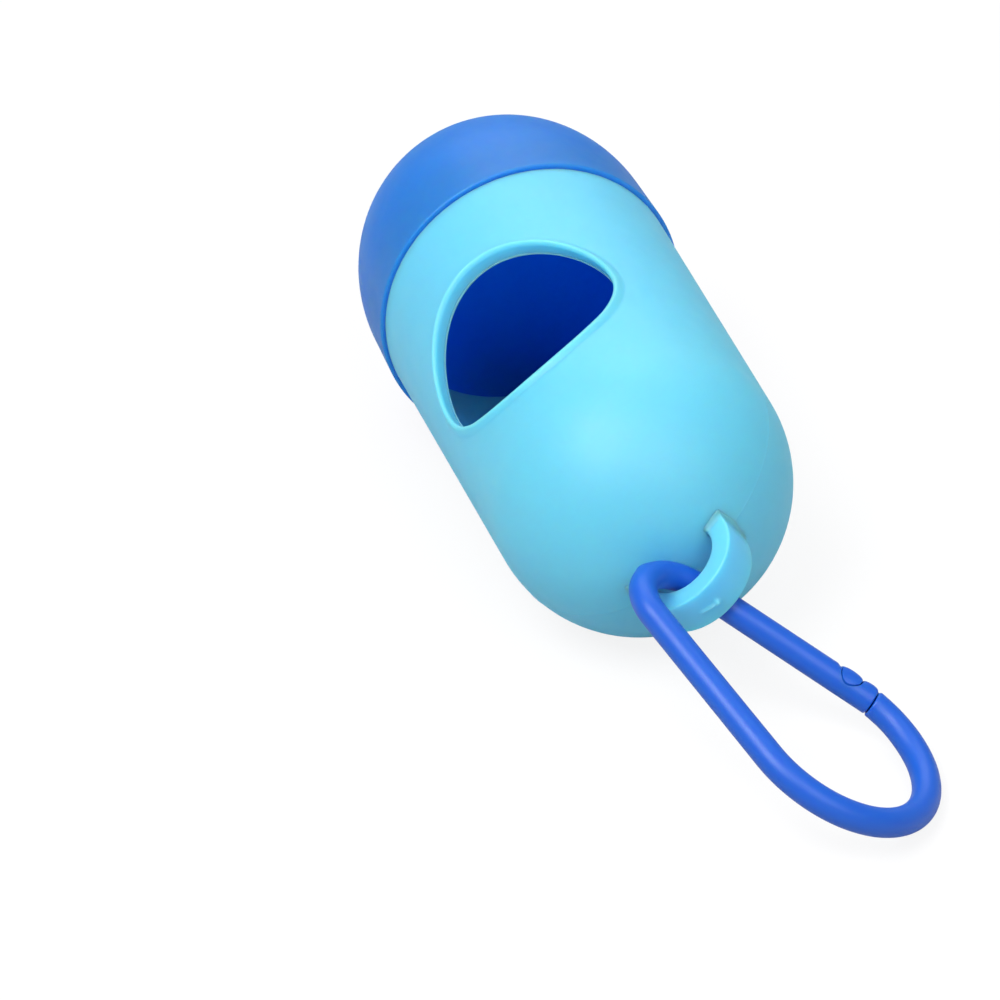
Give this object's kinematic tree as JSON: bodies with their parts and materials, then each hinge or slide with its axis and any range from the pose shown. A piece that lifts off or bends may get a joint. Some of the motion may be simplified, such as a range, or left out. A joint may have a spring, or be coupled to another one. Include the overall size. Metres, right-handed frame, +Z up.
{
  "type": "dog waste bag dispenser",
  "caption": "Capsule-shaped dog waste bag dispenser: hollow case with a lipped dispensing window, push-on domed cap, and a spring-gate carabiner hooked through a moulded loop.",
  "frame": {"origin": "centre of the bounding box's base, on the ground that the dispenser lies on", "axes": "+X along the dispenser from its carabiner to its cap, +Z up, as it lies at rest on its tail and on the cap's rim"},
  "size_m": [0.1322, 0.0416, 0.0421],
  "materials": {
    "case_plastic": "moulded plastic, light cyan, semi-gloss",
    "cap_plastic": "moulded plastic, royal blue, semi-gloss",
    "carabiner_plastic": "moulded plastic, royal blue, semi-gloss"
  },
  "bodies": {
    "case": {"case": "case_plastic"},
    "cap": {"cap": "cap_plastic"},
    "carabiner": {"carabiner_frame": "carabiner_plastic"},
    "gate": {"carabiner_gate": "carabiner_plastic"}
  },
  "joints": [
    {"name": "cap_pull", "type": "slide", "parent": "case", "child": "cap", "axis": [0.9986, 0, 0.0523], "range_m": [0, 0.07]},
    {"name": "carabiner_swing", "type": "hinge", "parent": "case", "child": "carabiner", "pos_m": [-0.03147, 0.00048, 0.0171], "axis": [-0.0425, 0.5821, 0.812], "range_deg": [0, 75]},
    {"name": "gate_hinge", "type": "hinge", "parent": "carabiner", "child": "gate", "pos_m": [-0.03438, -0.00326, 0.01437], "axis": [0.1844, 0.4813, -0.8569], "range_deg": [0, 22], "stiffness_Nm_per_rad": 0.08}
  ]
}
